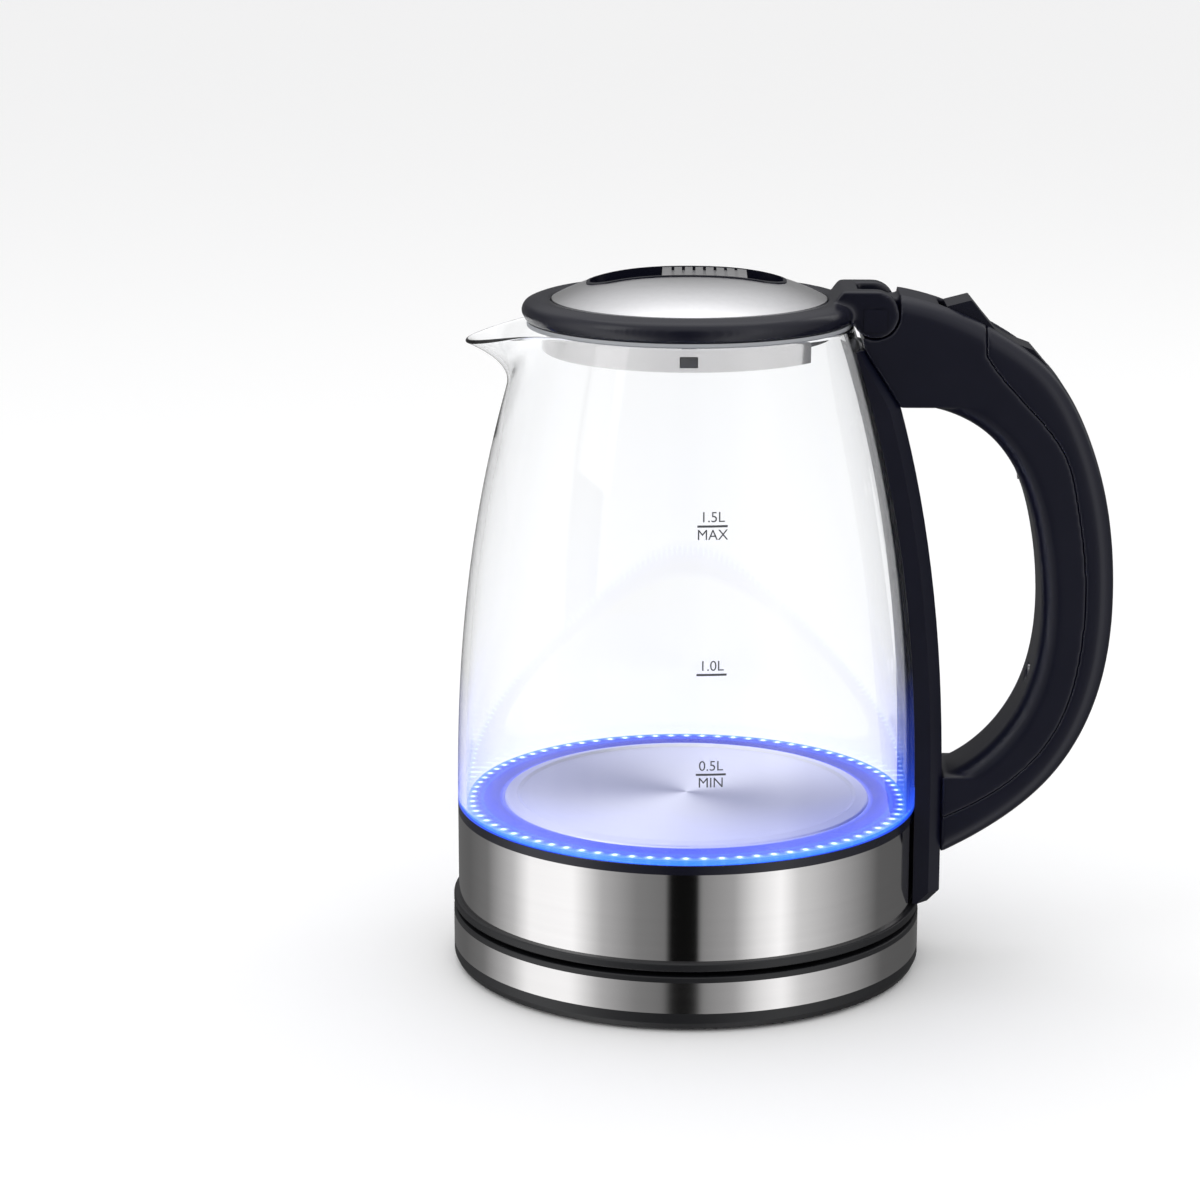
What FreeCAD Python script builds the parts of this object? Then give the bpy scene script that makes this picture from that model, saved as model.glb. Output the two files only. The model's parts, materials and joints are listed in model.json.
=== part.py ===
import FreeCAD, Part
import math
import os

# Electric glass kettle on a round power base, in millimetres.
# Origin: on the jug's axis, at the surface that the power base stands on.
# +Z up, +X towards the handle, -X towards the spout, -Y is the side with the level marks.

# ---- driving dimensions -------------------------------------------------------------------

# power base
base_r = 80.0              # outside of the base and of the jug's bottom cover
base_h = 19.0              # top of the flat rim
foot_h = 1.6               # rubber foot ring, from the table up
foot_in_r = 62.0
foot_out_r = 70.0
foot_sunk = 0.4            # how deep the foot ring sits in its groove
shell_lift = 0.8           # the lower shell's edge clears the table by this
band_lo_z = 6.5            # steel band of the base
band_hi_z = 17.0
band_t = 0.6
base_wall = 2.0
dome_r = 45.5              # foot of the central dome
plateau_r = 29.0           # flat top of the dome
dome_rise = 10.5
tower_r = 14.7             # round coupling
tower_rise = 16.0          # above the plateau
tower_depth = 17.0         # below the plateau, inside the base
base_screw_pcd = 110.0
under_screw_len = 10.4     # base screw under its head

# coupling: centre pin and two rings of the jug in the slots of the tower
pin_r = 1.6
ring_mid_r = (6.5, 10.5)
ring_t = 1.0
ring_len = (10.0, 9.7)
pin_len = 10.7
slot_gap = 0.6             # round a ring or pin
slot_depth = 12.0
boss_r = 4.0               # screw bosses of the base
boss_z = 6.0

# jug, lower part
nest_gap = 1.6             # jug cover above the base rim
stand_gap = 0.1            # under the four standing studs
cover_lip_h = 2.9
cover_wall = 2.0
recess_out_r = 52.0        # cone in the underside
recess_in_r = 36.0
recess_h = 12.0
skirt_r = 78.3             # outside of the steel skirt and of the glass above it
skirt_t = 0.7
skirt_hi_z = 53.0
trim_h = 3.0               # black ring between skirt and glass
stud_r = 2.0
stud_circle_r = 66.0
stud_count = 4
stud_offset_deg = 10.0     # from the screw beside it
screw_start_deg = 35.0
control_screw_r = 27.0     # circle of the three screws round the coupling
plate_disc_r = 56.8        # flat heated disc
plate_rim_r = 62.5
plate_top_z = 58.0
plate_t = 1.0
element_r = 36.0
element_tube_r = 3.0
diffuser_r = 50.0
diffuser_t = 3.0
led_count = 80
led_circle_r = 73.4
guide_top_z = 57.4         # clear ring between plate and glass

# glass
glass_rim_r = 54.6
glass_rim_z = 219.5
glass_wall = 2.8
glass_taper = 2.28         # power of the wall's curve
glass_tuck = 6.0           # length of the stepped lower end inside the trim ring
spout_reach = 19.5         # how far the tip stands out of the rim's radius
spout_tip_drop = 6.0       # tip below the rim
spout_root_drop = 21.0     # where the spout leaves the body, below the rim
spout_half_w = 22.0
spout_tip_r = 4.0

# lid
lid_ring_r = 56.0
lid_ring_lift = 1.8        # underside of the ring above the glass rim
lid_ring_h = 7.7
lid_disc_r = 45.7
lid_crown = 8.8            # rise of the steel disc from its edge to its middle
lid_crown_power = 2.8      # how flat the disc stays before it falls to its edge
lid_disc_t = 0.8
collar_r = 47.5
collar_t = 0.6
collar_drop = 8.5          # collar below the glass rim
collar_cut_x = 39.0        # the collar stops short of the handle bracket here
lid_base_drop = 3.5        # plastic body of the lid below the glass rim
recess_x0 = -33.0          # finger slot in the disc, along X
recess_x1 = 31.0
recess_half_w = 11.0
recess_depth = 8.0
slider_x0 = -9.0
slider_x1 = 19.0
slider_travel = 6.0
slider_ribs = 7
latch_travel = 3.0
latch_reach = 2.2          # latch nose beyond the collar
hinge_out = 6.4            # hinge axis beyond the rim's radius
hinge_up = 5.5             # hinge axis above the rim
knuckle_r = 7.8
hinge_lug_half_w = 7.6     # the handle's lug, between the lid's two knuckles
hinge_lug_r = 4.6
hinge_pin_r = 1.5
lid_open_deg = 80.0

# handle
strap_half_w = 18.0
strap_t = 8.0              # beyond the glass
strap_bevel = 4.0          # along both long edges
strap_pad_t = 0.8          # adhesive pad between glass and strap
strap_foot_gap = 0.4       # strap above the lip of the jug's bottom cover
handle_half_w = 15.5
handle_round = 6.0         # rounding of the handle's long edges
handle_wall = 2.6
grip_reach = 70.0          # widest distance of the grip's back from the glass
paddle_half_w = 9.0
paddle_pin_r = 1.25
paddle_swing_deg = 7.0

# cord
cord_d = 6.0
relief_z = 9.0             # height of the cord's exit
relief_neck_r = 4.6
relief_len = 22.0          # outside the base
coil_turn_r = 32.0         # middle of the coil's turns
coil_rows = 2              # turns side by side, and on each other
plug_axis_z = 13.0
plug_half_w = 18.0
plug_pin_r = 2.4
plug_pin_gap = 19.0        # between the pins' axes
plug_pin_len = 19.0

fit = 0.3                  # gap between parts that move past each other
seat = 0.05                # gap between round parts that are pressed together
pin_fit = 0.05             # running fit of a pin

# ---- derived places -----------------------------------------------------------------------

floor_z = foot_h - foot_sunk
plateau_z = base_h + dome_rise
tower_top_z = plateau_z + tower_rise
cover_z = base_h + nest_gap
cover_lip_z = cover_z + cover_lip_h
recess_z = cover_z + recess_h
skirt_lo_z = cover_lip_z
skirt_in_r = skirt_r - skirt_t - seat      # outside of what sits in the skirt
strap_lo_z = cover_lip_z + strap_foot_gap
glass_lo_z = skirt_hi_z + trim_h
glass_foot_z = glass_lo_z - glass_tuck
glass_in_r = skirt_r - glass_wall
ring_lo_z = glass_rim_z + lid_ring_lift
ring_hi_z = ring_lo_z + lid_ring_h
disc_edge_z = ring_hi_z - 0.5
collar_z = glass_rim_z - collar_drop
lid_base_z = glass_rim_z - lid_base_drop
hinge_x = glass_rim_r + hinge_out
hinge_z = glass_rim_z + hinge_up
head_top_z = hinge_z + knuckle_r + 0.2
inlet_ceiling_z = tower_top_z + 1.3


# ---- helpers ------------------------------------------------------------------------------

def vec(x, y, z):
    return FreeCAD.Vector(x, y, z)


def rounded_outline(corners, place):
    """Closed wire through (a, b) or (a, b, radius) corners, with an arc at each radius."""
    points = [corner[:2] for corner in corners]
    radii = [corner[2] if len(corner) > 2 else 0.0 for corner in corners]
    ends = []
    for i, here in enumerate(points):
        before, after = points[i - 1], points[(i + 1) % len(points)]
        if radii[i] == 0.0:
            ends.append((here, here, here))
            continue
        u = (before[0] - here[0], before[1] - here[1])
        w = (after[0] - here[0], after[1] - here[1])
        lu, lw = math.hypot(*u), math.hypot(*w)
        u, w = (u[0] / lu, u[1] / lu), (w[0] / lw, w[1] / lw)
        half = math.acos(max(-1.0, min(1.0, u[0] * w[0] + u[1] * w[1]))) / 2
        back = min(radii[i] / math.tan(half), 0.48 * min(lu, lw))
        radius = back * math.tan(half)
        middle = (u[0] + w[0], u[1] + w[1])
        length = math.hypot(*middle)
        reach = radius / math.sin(half) - radius
        top = (here[0] + middle[0] / length * reach, here[1] + middle[1] / length * reach)
        start = (here[0] + u[0] * back, here[1] + u[1] * back)
        stop = (here[0] + w[0] * back, here[1] + w[1] * back)
        ends.append((start, top, stop))
    edges = []
    for i, (start, top, stop) in enumerate(ends):
        if start != stop:
            edges.append(Part.Arc(place(*start), place(*top), place(*stop)).toShape())
        following = ends[(i + 1) % len(ends)][0]
        if math.dist(stop, following) > 1e-6:
            edges.append(Part.LineSegment(place(*stop), place(*following)).toShape())
    return Part.Wire(edges)


def turned(corners, degrees=360.0):
    """Solid of revolution about Z from an (r, z) outline."""
    wire = rounded_outline(corners, lambda r, z: vec(r, 0, z))
    return Part.Face(wire).revolve(vec(0, 0, 0), vec(0, 0, 1), degrees)


def ring(r_in, r_out, z0, z1):
    return turned([(r_in, z0), (r_out, z0), (r_out, z1), (r_in, z1)])


def disc(r, z0, z1):
    return Part.makeCylinder(r, z1 - z0, vec(0, 0, z0))


def post(x, y, z0, z1, r):
    return Part.makeCylinder(r, z1 - z0, vec(x, y, z0))


def bar_y(x, z, r, half_w):
    return Part.makeCylinder(r, 2 * half_w, vec(x, -half_w, z), vec(0, 1, 0))


def box(x0, x1, y0, y1, z0, z1):
    return Part.makeBox(x1 - x0, y1 - y0, z1 - z0, vec(x0, y0, z0))


def slab_xy(corners, z0, z1):
    """Plate with an outline in plan."""
    wire = rounded_outline(corners, lambda x, y: vec(x, y, z0))
    return Part.Face(wire).extrude(vec(0, 0, z1 - z0))


def slab_xz(corners, half_w):
    """Plate with a side outline, centred on the XZ plane."""
    wire = rounded_outline(corners, lambda x, z: vec(x, -half_w, z))
    return Part.Face(wire).extrude(vec(0, 2 * half_w, 0))


def fuse(first, *others):
    return first.fuse(list(others)).removeSplitter()


def polar(r, degrees):
    angle = math.radians(degrees)
    return r * math.cos(angle), r * math.sin(angle)


def spline(points, place=lambda x, z: vec(x, 0, z)):
    curve = Part.BSplineCurve()
    curve.interpolate([place(*point) for point in points])
    return curve.toShape()


def glass_r(z, inset=0.0):
    """Outer radius of the glass at a height, less an inset."""
    part = max(0.0, (z - glass_lo_z) / (glass_rim_z - glass_lo_z))
    return skirt_r - (skirt_r - glass_rim_r) * part ** glass_taper - inset


def glass_levels(z0, z1, count=7):
    return [z0 + (z1 - z0) * i / (count - 1) for i in range(count)]


# ---- power base ---------------------------------------------------------------------------

base_screw_r = base_screw_pcd / 2
base_screw_spots = [polar(base_screw_r, 45 + 90 * k) for k in range(4)]


def cord_hole():
    return Part.makeCylinder(relief_neck_r + seat, 12, vec(0, base_r - 8, relief_z), vec(0, 1, 0))


def base_bottom_cover():
    lip_r = base_r - band_t
    floor_top = floor_z + base_wall
    shell = turned([(0, floor_z), (base_r - 4, floor_z), (base_r - 3, shell_lift),
                    (base_r - 1.2, shell_lift, 1.0), (base_r, shell_lift + 2.4, 1.0), (base_r, band_lo_z),
                    (lip_r - 0.4, band_lo_z), (lip_r - 0.4, band_lo_z - 1.5), (lip_r - 2.6, floor_top),
                    (0, floor_top)])
    shell = shell.cut(ring(foot_in_r, foot_out_r, 0, foot_h))
    for x, y in base_screw_spots:
        shell = shell.fuse(post(x, y, floor_top, boss_z, boss_r))
        shell = shell.cut(post(x, y, floor_z, boss_z, 1.6))
        shell = shell.cut(post(x, y, floor_z, floor_z + 2.4, 3.4))
    step = ring(tower_r - 4, tower_r + 2, floor_top, plateau_z - tower_depth)
    return shell.fuse(step).cut(cord_hole()).removeSplitter()


def base_foot_ring():
    return ring(foot_in_r, foot_out_r, 0, foot_h)


def base_steel_band():
    return ring(base_r - band_t, base_r, band_lo_z, band_hi_z).cut(cord_hole())


def base_top_cover():
    under = band_hi_z
    band_back = base_r - band_t - seat
    cover = turned([(tower_r + 0.3, plateau_z - base_wall), (plateau_r - 0.6, plateau_z - base_wall),
                    (dome_r - 1.2, under), (band_back - base_wall, under), (band_back - base_wall, band_lo_z + 1),
                    (band_back, band_lo_z + 1), (band_back, under), (base_r, under),
                    (base_r, base_h, 0.7), (dome_r, base_h, 6.0), (plateau_r, plateau_z, 5.0),
                    (tower_r + 0.3, plateau_z)])
    for x, y in base_screw_spots:
        cover = cover.fuse(post(x, y, boss_z, under + 0.2, boss_r))
        cover = cover.cut(post(x, y, boss_z, floor_z + 2.4 + under_screw_len, 1.3))
    return cover.cut(cord_hole()).removeSplitter()


def base_screws():
    screws = []
    for x, y in base_screw_spots:
        head = post(x, y, floor_z + 0.6, floor_z + 2.4, 3.1)
        slot = box(x - 2.2, x + 2.2, y - 0.4, y + 0.4, floor_z + 0.6, floor_z + 1.3)
        screws.append(head.cut(slot).fuse(post(x, y, floor_z + 2.4, floor_z + 2.4 + under_screw_len, 1.3)))
    return Part.makeCompound(screws)


def connector_tower():
    low = plateau_z - tower_depth
    tower = turned([(0, low), (tower_r + 2, low), (tower_r + 2, plateau_z - base_wall),
                    (tower_r, plateau_z - base_wall), (tower_r, tower_top_z, 1.2), (0, tower_top_z)])
    bottom = tower_top_z - slot_depth
    tower = tower.cut(disc(pin_r + slot_gap + 0.5, bottom, tower_top_z))
    for mid in ring_mid_r:
        side = ring_t / 2 + slot_gap
        tower = tower.cut(ring(mid - side - 0.5, mid + side, bottom, tower_top_z))
    return tower


def base_contacts():
    """A sprung sleeve for the pin and one for each ring, on the inner wall of its slot."""
    low, high = tower_top_z - slot_depth, tower_top_z - 4.0
    sleeves = [ring(pin_r + slot_gap, pin_r + slot_gap + 0.5, low, high)]
    for mid in ring_mid_r:
        inner = mid - ring_t / 2 - slot_gap
        sleeves.append(ring(inner - 0.5, inner, low, high))
    return Part.makeCompound(sleeves)


def terminal_block():
    low = floor_z + base_wall
    block = box(-12, 12, 22, 34, low, low + 9)
    return block.cut(box(-3.5, 3.5, 22, 30, low + 3, low + 9))


# ---- cord and plug ------------------------------------------------------------------------

exit_run = [(0, base_r + relief_len + 1, relief_z), (0.4, 114, 8.6), (-2.1, 125.7, 6.6), (-8.1, 136.1, 4.6),
            (-17.0, 144.1, 3.3), (-28.0, 149.0, 3.0), (-38.9, 150.5, 3.0)]
plug_run = [(-12.1, 208.0, 9.0), (-5.0, 199.6, 10.6), (2.6, 191.6, 12.6), (10.6, 184.2, 13.0)]
plug_heading = math.degrees(math.atan2(plug_run[-1][1] - plug_run[-2][1], plug_run[-1][0] - plug_run[-2][0]))
coil_centre = (-38.9, 185.5)


def cord_tube(points, name):
    """Straight runs joined by tangent arcs, each as large as its two runs allow."""
    points = [vec(*point) for point in points]
    edges = []
    here = points[0]
    for before, corner, after in zip(points, points[1:], points[2:]):
        back, ahead = before - corner, after - corner
        half = (math.pi - back.getAngle(ahead)) / 2
        shorter = min(back.Length, ahead.Length)
        reach = 0.45 * shorter
        radius = reach / math.tan(half)
        print(name, "bend radius %.1f mm" % radius)
        back.normalize()
        ahead.normalize()
        start, stop = corner + back * reach, corner + ahead * reach
        middle = (back + ahead).normalize()
        top = corner + middle * (radius / math.cos(half) - radius)
        edges.append(Part.LineSegment(here, start).toShape())
        edges.append(Part.Arc(start, top, stop).toShape())
        here = stop
    edges.append(Part.LineSegment(here, points[-1]).toShape())
    path = Part.Wire(edges)
    section = Part.Wire(Part.Circle(points[0], points[1] - points[0], cord_d / 2).toShape())
    tube = path.makePipeShell([section], True, True)
    print(name, "volume ratio %.4f" % (tube.Volume / (math.pi * cord_d ** 2 / 4 * path.Length)))
    return tube


def cord_strain_relief():
    """Ribbed tapering sleeve through the base wall, with a collar inside the wall."""
    y0 = base_r - 7.0
    along = vec(0, 1, 0)
    tip_r = cord_d / 2 + 0.9
    pieces = [Part.makeCone(relief_neck_r, tip_r, relief_len + 8.0, vec(0, y0, relief_z), along)]
    for k in range(4):
        y = base_r + 3.2 + 4.4 * k
        pieces.append(Part.makeCylinder(tip_r + 1.3 - 0.2 * k, 2.0, vec(0, y, relief_z), along))
    pieces.append(Part.makeCylinder(relief_neck_r + 0.8, 2.5, vec(0, y0, relief_z), along))
    return fuse(*pieces)


def power_cord():
    return cord_tube(exit_run, "power_cord")


def power_cord_end():
    return cord_tube(plug_run, "power_cord_end")


def power_cord_coil():
    half = coil_rows * cord_d / 2
    coil = ring(coil_turn_r - half, coil_turn_r + half, 0, coil_rows * cord_d)
    coil.translate(vec(coil_centre[0], coil_centre[1], 0))
    for tube in (power_cord(), power_cord_end()):
        coil = coil.cut(tube)
    return coil


def place_plug(shape):
    """From plug axes (+X out of the pins, axis at z 0) to where the plug lies."""
    shape.rotate(vec(0, 0, 0), vec(0, 0, 1), plug_heading)
    shape.translate(vec(*plug_run[-1]))
    return shape


plug_sleeve_len = 18.0
plug_grip_len = 24.0
plug_flange_t = 7.0


def plug_body():
    sleeve = Part.makeCone(cord_d / 2 + 0.8, cord_d / 2 + 3.0, plug_sleeve_len, vec(0, 0, 0), vec(1, 0, 0))
    grip_end = plug_sleeve_len + plug_grip_len
    def oval(x, half_y, half_z):
        corner = min(half_y, half_z) * 0.95
        corners = [(-half_y, -half_z, corner), (half_y, -half_z, corner),
                   (half_y, half_z, corner), (-half_y, half_z, corner)]
        return rounded_outline(corners, lambda y, z: vec(x, y, z))
    grip = Part.makeLoft([oval(plug_sleeve_len, 7.0, 6.5), oval(plug_sleeve_len + plug_grip_len * 0.5, 9.0, 7.5),
                          oval(grip_end, 13.0, 9.5)], True)
    flange = Part.Face(oval(grip_end, plug_half_w, plug_axis_z)).extrude(vec(plug_flange_t, 0, 0))
    body = fuse(sleeve, grip, flange)
    for k in range(4):
        x = 3.0 + 4.0 * k
        body = body.fuse(Part.makeCylinder(cord_d / 2 + 1.9 + 0.4 * k, 2.0, vec(x, 0, 0), vec(1, 0, 0)))
    return place_plug(body.removeSplitter())


def plug_pins():
    start = plug_sleeve_len + plug_grip_len + plug_flange_t
    pins = []
    for side in (-1, 1):
        pin = Part.makeCylinder(plug_pin_r, plug_pin_len, vec(start, side * plug_pin_gap / 2, 0), vec(1, 0, 0))
        pins.append(pin.makeFillet(0.9, [pin.Edges[0] if pin.Edges[0].CenterOfMass.x > start + 1 else pin.Edges[2]]))
    return place_plug(Part.makeCompound(pins))


# ---- jug, lower part ----------------------------------------------------------------------

cover_screw_spots = [polar(stud_circle_r, screw_start_deg + 90 * k) for k in range(stud_count)]
control_screw_spots = [polar(control_screw_r, 90 + 120 * k) for k in range(3)]
cover_top = cover_z + cover_wall
recess_top = recess_z + cover_wall
cover_boss_z = cover_z + 8.0
screw_well_r = 3.0
support_lo_z = 34.0
support_hi_z = glass_foot_z - 3.0
support_in_r = 64.0
strap_screw_z = 40.0
strap_screw_r = 1.5


def jug_bottom_cover():
    skirt_in = skirt_in_r
    cover = turned([(tower_r + 2.4, recess_z), (recess_in_r, recess_z, 3.0), (recess_out_r, cover_z, 3.0),
                    (base_r, cover_z, 0.7), (base_r, cover_lip_z, 0.7), (skirt_in, cover_lip_z),
                    (skirt_in, cover_lip_z + 4), (skirt_in - cover_wall, cover_lip_z + 4),
                    (skirt_in - cover_wall, cover_top), (recess_out_r + 1.0, cover_top, 2.0),
                    (recess_in_r + 1.0, recess_top, 2.0), (tower_r + 2.4, recess_top)])
    for k in range(stud_count):
        x, y = polar(stud_circle_r, screw_start_deg + 90 * k + stud_offset_deg)
        cover = cover.fuse(post(x, y, base_h + stand_gap, cover_z + 0.5, stud_r))
    for x, y in cover_screw_spots:
        cover = cover.fuse(post(x, y, cover_top - 0.2, cover_boss_z, screw_well_r + 1.4))
        cover = cover.cut(post(x, y, cover_z, cover_boss_z - 2, screw_well_r))
        cover = cover.cut(post(x, y, cover_z, cover_boss_z, 1.5))
    for x, y in control_screw_spots:
        cover = cover.cut(post(x, y, recess_z, recess_top, 1.5))
        cover = cover.cut(post(x, y, recess_z, recess_z + 0.9, 3.4))
    return cover.removeSplitter()


def cover_screws():
    head_z = cover_boss_z - 2
    screws = []
    for x, y in cover_screw_spots:
        head = post(x, y, head_z - 1.8, head_z, 2.6)
        cross = box(x - 1.6, x + 1.6, y - 0.35, y + 0.35, head_z - 1.8, head_z - 1.0)
        screws.append(head.cut(cross).fuse(post(x, y, head_z, support_lo_z + 6, 1.5)))
    return Part.makeCompound(screws)


def control_screws():
    head_z = recess_z + 0.9
    screws = []
    for x, y in control_screw_spots:
        head = post(x, y, head_z - 1.8, head_z, 3.1)
        cross = box(x - 1.9, x + 1.9, y - 0.4, y + 0.4, head_z - 1.8, head_z - 1.0)
        screws.append(head.cut(cross).fuse(post(x, y, head_z, recess_top + 3, 1.5)))
    return Part.makeCompound(screws)


def strap_screw_tool(r, x0, x1):
    return Part.makeCylinder(r, x1 - x0, vec(x0, 0, strap_screw_z), vec(1, 0, 0))


def steel_skirt():
    skirt = ring(skirt_r - skirt_t, skirt_r, skirt_lo_z, skirt_hi_z)
    return skirt.cut(strap_screw_tool(strap_screw_r + seat, skirt_r - 5, skirt_r + 2))


def support_ring():
    skirt_in = skirt_in_r
    body = turned([(support_in_r, support_hi_z - 3), (skirt_in - 2.4, support_hi_z - 3),
                   (skirt_in - 2.4, support_lo_z), (skirt_in, support_lo_z), (skirt_in, support_hi_z),
                   (support_in_r, support_hi_z)])
    for x, y in cover_screw_spots:
        body = body.fuse(post(x, y, cover_boss_z, support_hi_z - 2, 3.6))
        body = body.cut(post(x, y, cover_boss_z, support_lo_z + 6, 1.5))
    return body.cut(strap_screw_tool(strap_screw_r + seat, skirt_in - 5, skirt_r)).removeSplitter()


def glass_seal():
    """Silicone channel under the glass's lower edge."""
    skirt_in = skirt_in_r
    foot_r = skirt_in - 1.2
    return turned([(glass_in_r - 1.5, support_hi_z), (skirt_in, support_hi_z), (skirt_in, skirt_hi_z - 0.2),
                   (foot_r, skirt_hi_z - 0.2), (foot_r, glass_foot_z), (glass_in_r - 1.5, glass_foot_z)])


def skirt_trim_ring():
    return ring(skirt_in_r - 1.2, skirt_r, skirt_hi_z, glass_lo_z)


def heating_plate():
    """Flat disc with a raised outer rim and a wall down to the support ring."""
    rim_z = plate_top_z + 0.6
    wall_r = plate_rim_r - plate_t
    low = support_hi_z
    return turned([(0, plate_top_z - plate_t), (plate_disc_r, plate_top_z - plate_t),
                   (plate_disc_r + 1.2, rim_z - plate_t), (wall_r, rim_z - plate_t - 0.8), (wall_r, low),
                   (support_in_r + 4, low), (support_in_r + 4, low + plate_t),
                   (plate_rim_r, low + plate_t), (plate_rim_r, rim_z - 0.8, 1.2),
                   (plate_disc_r + 1.2, rim_z, 0.5), (plate_disc_r, plate_top_z), (0, plate_top_z)])


def heat_diffuser():
    top = plate_top_z - plate_t
    return disc(diffuser_r, top - diffuser_t, top)


def heating_element():
    """Sheathed element, three quarters of a circle, with its cold ends turned down."""
    z = plate_top_z - plate_t - diffuser_t - element_tube_r
    curl = Part.makeTorus(element_r, element_tube_r, vec(0, 0, z), vec(0, 0, 1), 0, 360, 300)
    ends = []
    for angle in (0, 300):
        x, y = polar(element_r, angle)
        ends.append(post(x, y, z - 6, z, element_tube_r))
    return fuse(curl, *ends)


def inlet_housing():
    """Cup over the tower, with a flange that the three screws hold to the cover."""
    cup_in = tower_r + 0.8
    cup_out = tower_r + 2.2
    low = recess_z + 0.4
    flange_r = control_screw_r + 4.5
    top = inlet_ceiling_z + 2.0
    cup = turned([(cup_in, low), (cup_out, low), (cup_out, recess_top), (flange_r, recess_top),
                  (flange_r, recess_top + 2), (cup_out, recess_top + 2), (cup_out, top), (0, top),
                  (0, inlet_ceiling_z), (cup_in, inlet_ceiling_z)])
    for x, y in control_screw_spots:
        cup = cup.fuse(post(x, y, recess_top + 1, recess_top + 5, 3.2))
        cup = cup.cut(post(x, y, recess_top, recess_top + 3, 1.5))
    return cup.removeSplitter()


def contact_rings():
    """Pin and two rings that hang into the tower's slots."""
    top = inlet_ceiling_z - fit
    rings = [disc(pin_r, top - pin_len, top)]
    for mid, length in zip(ring_mid_r, ring_len):
        rings.append(ring(mid - ring_t / 2, mid + ring_t / 2, top - length, top))
    return Part.makeCompound(rings)


def thermostat_control():
    low = inlet_ceiling_z + 2.0
    high = plate_top_z - plate_t - diffuser_t
    block = disc(22, low, high - 0.5)
    discs = [post(x, 0, high - 0.5, high, 6.5) for x in (-12, 12)]
    return fuse(block, *discs)


guide_lo_z = glass_foot_z + 3.0
led_board_z = guide_lo_z
led_z = guide_top_z - 1.7


def led_board():
    return ring(led_circle_r - 2.2, led_circle_r + 1.8, led_board_z - 1.6, led_board_z)


def leds():
    lamps = []
    for k in range(led_count):
        lamp = box(led_circle_r - 0.7, led_circle_r + 0.7, -1.0, 1.0, led_board_z, led_z)
        lamp.rotate(vec(0, 0, 0), vec(0, 0, 1), 360.0 * k / led_count)
        lamps.append(lamp)
    return Part.makeCompound(lamps)


def light_guide_ring():
    """Clear ring that closes the gap between plate and glass, over the lamps."""
    in_r, out_r = plate_rim_r + seat, glass_in_r - seat
    return turned([(in_r, guide_lo_z), (led_circle_r - 1.4, guide_lo_z), (led_circle_r - 1.4, led_z + 0.3),
                   (led_circle_r + 1.4, led_z + 0.3), (led_circle_r + 1.4, guide_lo_z),
                   (out_r, guide_lo_z), (out_r, guide_top_z), (in_r, guide_top_z)])


# ---- jug, glass ---------------------------------------------------------------------------

glass_over = 4.0           # the curve runs on past the rim, and is trimmed there


def glass_hull(inset):
    """Solid inside the glass's outer surface, moved in by an inset."""
    z0, z1 = glass_lo_z, glass_rim_z + glass_over
    side = spline([(glass_r(z, inset), z) for z in glass_levels(z0, z1)])
    r0, r1 = glass_r(z0, inset), glass_r(z1, inset)
    wire = Part.Wire([Part.LineSegment(vec(0, 0, z0), vec(r0, 0, z0)).toShape(), side,
                      Part.LineSegment(vec(r1, 0, z1), vec(0, 0, z1)).toShape(),
                      Part.LineSegment(vec(0, 0, z1), vec(0, 0, z0)).toShape()])
    return Part.Face(wire).revolve(vec(0, 0, 0), vec(0, 0, 1), 360)


spout_tip_x = glass_rim_r + spout_reach
spout_root_z = glass_rim_z - spout_root_drop
spout_tip_z = glass_rim_z - spout_tip_drop


def spout_hull(inset):
    """Tongue that widens upwards out of the glass and ends in a rounded tip."""
    wires = []
    for share, out in ((0.0, 0.0), (0.35, 0.10), (0.62, 0.42), (0.80, 0.86), (1.30, 1.16)):
        z = spout_root_z + share * (spout_tip_z - spout_root_z)
        root_x = glass_r(spout_root_z) - 2.0
        tip_x = root_x + out * (spout_tip_x - root_x) - inset
        half = (spout_half_w * (0.55 + 0.45 * min(1.0, share))) - inset
        back = glass_rim_r * 0.72
        tip = spout_tip_r
        corners = [(-back, -half), (-tip_x, -tip, tip), (-tip_x, tip, tip), (-back, half)]
        wires.append(rounded_outline(corners, lambda x, y, level=z: vec(x, y, level)))
    return Part.makeLoft(wires, True)


def glass_body():
    outer = glass_hull(0).fuse(spout_hull(0))
    inner = glass_hull(glass_wall).fuse(spout_hull(glass_wall))
    shell = outer.cut(inner)
    lip_rise = math.degrees(math.atan2(glass_rim_z - spout_tip_z, spout_tip_x - glass_rim_r + 3))
    above = box(-150, 150, -120, 120, glass_rim_z, glass_rim_z + 60)
    ramp = box(-80, 0, -60, 60, 0, 60)
    ramp.rotate(vec(0, 0, 0), vec(0, 1, 0), -lip_rise)
    ramp.translate(vec(-glass_rim_r + 3, 0, glass_rim_z))
    foot_r = skirt_in_r - 1.2 - seat
    foot = ring(glass_in_r, foot_r, glass_foot_z, glass_lo_z)
    return fuse(shell.cut(above).cut(ramp), foot)


# ---- handle -------------------------------------------------------------------------------

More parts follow.
